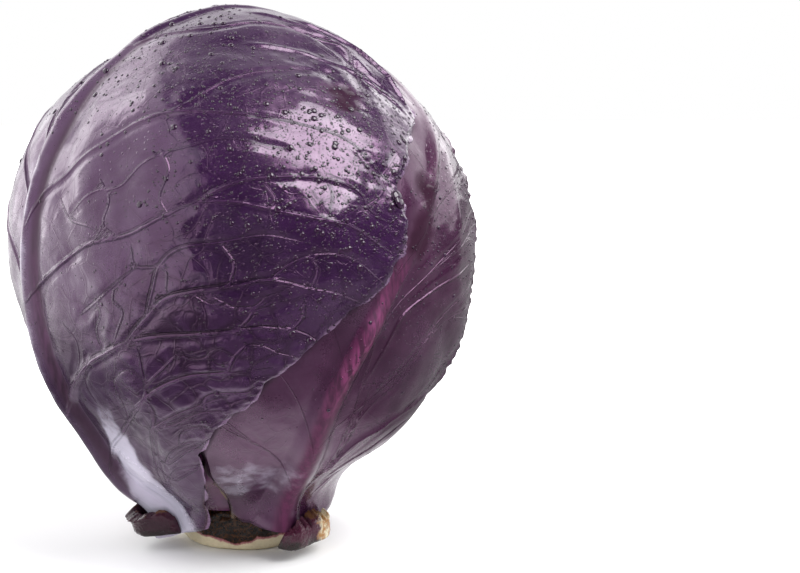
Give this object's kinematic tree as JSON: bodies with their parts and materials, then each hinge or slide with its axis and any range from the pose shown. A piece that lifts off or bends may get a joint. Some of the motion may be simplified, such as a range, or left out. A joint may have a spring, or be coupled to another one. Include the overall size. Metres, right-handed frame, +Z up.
{
  "type": "red cabbage",
  "caption": "Whole round head of red cabbage with overlapping waxy wrapper leaves, standing on the flat cut face of its trimmed stump.",
  "frame": {"origin": "centre of the stump's flat cut face, on the surface the head stands on", "axes": "+Z up the head's axis from the stump to the crown, -Y towards the front with the edge of the outermost leaf, +X to the right"},
  "size_m": [0.1484, 0.1493, 0.1721],
  "materials": {
    "leaf_skin": "waxy purple leaf skin, wet, with a greyish bloom",
    "inner_leaf": "smooth waxy purple leaf skin",
    "leaf_foot": "cut fleshy leaf base, browned at its edges",
    "cut_stalk": "pale cut stalk, slightly rough"
  },
  "bodies": {
    "root": {"stump": "cut_stalk", "inner_head": "inner_leaf", "leaf_front_left": "leaf_skin", "leaf_front_right": "leaf_skin", "leaf_back": "leaf_skin", "leaf_back_right": "leaf_skin", "cut_base_1": "leaf_foot", "cut_base_2": "leaf_foot", "cut_base_3": "leaf_foot", "cut_base_4": "leaf_foot"}
  },
  "joints": []
}
